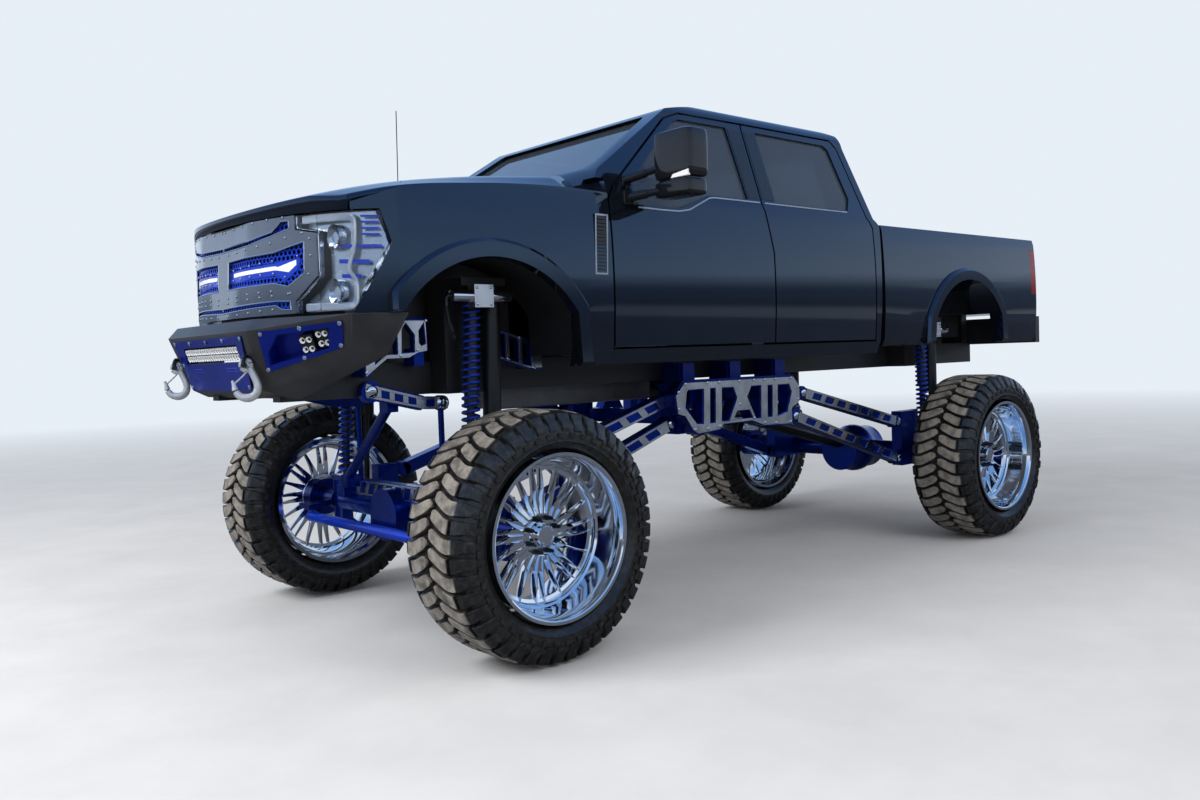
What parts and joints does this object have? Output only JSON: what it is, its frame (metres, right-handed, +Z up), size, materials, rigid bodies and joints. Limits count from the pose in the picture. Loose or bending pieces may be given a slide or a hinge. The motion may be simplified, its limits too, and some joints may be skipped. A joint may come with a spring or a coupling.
{
  "type": "raised crew-cab pickup truck",
  "caption": "Crew-cab pickup truck on very tall link suspension, with deep polished wheels, wide lugged tyres, a winged front bumper, and opening doors, hood and tailgate.",
  "frame": {"origin": "on the ground, under the middle of the whole truck", "axes": "+X forward, +Y to the truck's left, +Z up"},
  "size_m": [6.44, 2.66, 2.9799],
  "materials": {
    "body_black": "deep gloss black paint",
    "frame_black": "satin black",
    "candy_blue": "dark blue gloss powder coat",
    "bright_blue": "bright blue gloss powder coat",
    "spring_blue": "blue powder coat",
    "polished_plate": "polished",
    "polished_rim": "mirror polished",
    "bright_steel": "bright galvanised",
    "shock_black": "gloss black",
    "engine_grey": "dull grey",
    "cabin_plastic": "matte black",
    "gloss_black": "gloss black",
    "grille_grey": "dark steel grey",
    "grille_blue": "blue mesh",
    "seat_leather": "black",
    "bumper_black": "textured matte black",
    "dark_glass": "dark tint",
    "lamp_clear": "clear lens",
    "lamp_white": "clear lens over white lamps",
    "lamp_red": "red lens",
    "tyre_black": "black rubber"
  },
  "bodies": {
    "chassis": {"frame": "frame_black", "lift_brackets": "candy_blue", "bracket_plates": "polished_plate", "front_axle": "candy_blue", "rear_axle": "candy_blue", "link_arms": "candy_blue", "link_trim": "polished_plate", "shock_absorbers": "shock_black", "coil_springs": "spring_blue", "sway_arms": "candy_blue", "track_bar": "candy_blue", "drive_shafts": "frame_black", "engine_block": "engine_grey", "cab_shell": "body_black", "cab_glass": "dark_glass", "dashboard": "cabin_plastic", "seats": "seat_leather", "fender_left": "body_black", "fender_right": "body_black", "radiator_panel": "cabin_plastic", "grille": "grille_grey", "grille_mesh": "grille_blue", "headlamps": "lamp_clear", "front_bumper": "bumper_black", "bumper_lamps": "lamp_white", "tow_hooks": "bright_steel", "arch_liners": "cabin_plastic", "bed_box": "body_black", "tail_lamps": "lamp_red", "rear_bumper": "bumper_black", "antenna": "frame_black"},
    "hood": {"hood": "body_black"},
    "tailgate": {"tailgate": "body_black"},
    "tie_rod": {"tie_rod": "bright_blue"},
    "door_front_left": {"door_front_left": "body_black", "door_glass_front_left": "dark_glass", "mirror_left": "gloss_black"},
    "door_front_right": {"door_front_right": "body_black", "door_glass_front_right": "dark_glass", "mirror_right": "gloss_black"},
    "door_rear_left": {"door_rear_left": "body_black", "door_glass_rear_left": "dark_glass"},
    "door_rear_right": {"door_rear_right": "body_black", "door_glass_rear_right": "dark_glass"},
    "knuckle_left": {"knuckle_left": "candy_blue"},
    "knuckle_right": {"knuckle_right": "candy_blue"},
    "wheel_front_left": {"rim_front_left": "polished_rim", "tyre_front_left": "tyre_black"},
    "wheel_front_right": {"rim_front_right": "polished_rim", "tyre_front_right": "tyre_black"},
    "wheel_rear_left": {"rim_rear_left": "polished_rim", "tyre_rear_left": "tyre_black"},
    "wheel_rear_right": {"rim_rear_right": "polished_rim", "tyre_rear_right": "tyre_black"}
  },
  "joints": [
    {"name": "hood_hinge", "type": "hinge", "parent": "chassis", "child": "hood", "pos_m": [1.55, 0, 2.372], "axis": [0, -1, 0], "range_deg": [0, 50]},
    {"name": "tailgate_hinge", "type": "hinge", "parent": "chassis", "child": "tailgate", "pos_m": [-3.083, 0, 1.617], "axis": [0, -1, 0], "range_deg": [0, 90]},
    {"name": "door_front_left_hinge", "type": "hinge", "parent": "chassis", "child": "door_front_left", "pos_m": [1.448, 0.987, 1.6], "axis": [0, 0, -1], "range_deg": [0, 65]},
    {"name": "door_front_right_hinge", "type": "hinge", "parent": "chassis", "child": "door_front_right", "pos_m": [1.448, -0.987, 1.6], "axis": [0, 0, 1], "range_deg": [0, 65]},
    {"name": "door_rear_left_hinge", "type": "hinge", "parent": "chassis", "child": "door_rear_left", "pos_m": [0.226, 0.987, 1.6], "axis": [0, 0, -1], "range_deg": [0, 65]},
    {"name": "door_rear_right_hinge", "type": "hinge", "parent": "chassis", "child": "door_rear_right", "pos_m": [0.226, -0.987, 1.6], "axis": [0, 0, 1], "range_deg": [0, 65]},
    {"name": "steer_left", "type": "hinge", "parent": "chassis", "child": "knuckle_left", "pos_m": [2.1, 0.85, 0.58], "axis": [0, 0, 1], "range_deg": [-25, 25]},
    {"name": "steer_right", "type": "hinge", "parent": "chassis", "child": "knuckle_right", "pos_m": [2.1, -0.85, 0.58], "axis": [0, 0, 1], "range_deg": [-25, 25]},
    {"name": "tie_rod_slide", "type": "slide", "parent": "chassis", "child": "tie_rod", "axis": [0, 1, 0], "range_m": [-0.1, 0.1]},
    {"name": "roll_front_left", "type": "hinge", "parent": "knuckle_left", "child": "wheel_front_left", "pos_m": [2.1, 1.078, 0.58], "axis": [0, 1, 0], "continuous": true},
    {"name": "roll_front_right", "type": "hinge", "parent": "knuckle_right", "child": "wheel_front_right", "pos_m": [2.1, -1.078, 0.58], "axis": [0, 1, 0], "continuous": true},
    {"name": "roll_rear_left", "type": "hinge", "parent": "chassis", "child": "wheel_rear_left", "pos_m": [-1.96, 1.078, 0.58], "axis": [0, 1, 0], "continuous": true},
    {"name": "roll_rear_right", "type": "hinge", "parent": "chassis", "child": "wheel_rear_right", "pos_m": [-1.96, -1.078, 0.58], "axis": [0, 1, 0], "continuous": true}
  ],
  "couplings": [
    {"joint": "steer_right", "follows": "steer_left", "ratio": 1},
    {"joint": "tie_rod_slide", "follows": "steer_left", "m_per_rad": 0.2083}
  ]
}
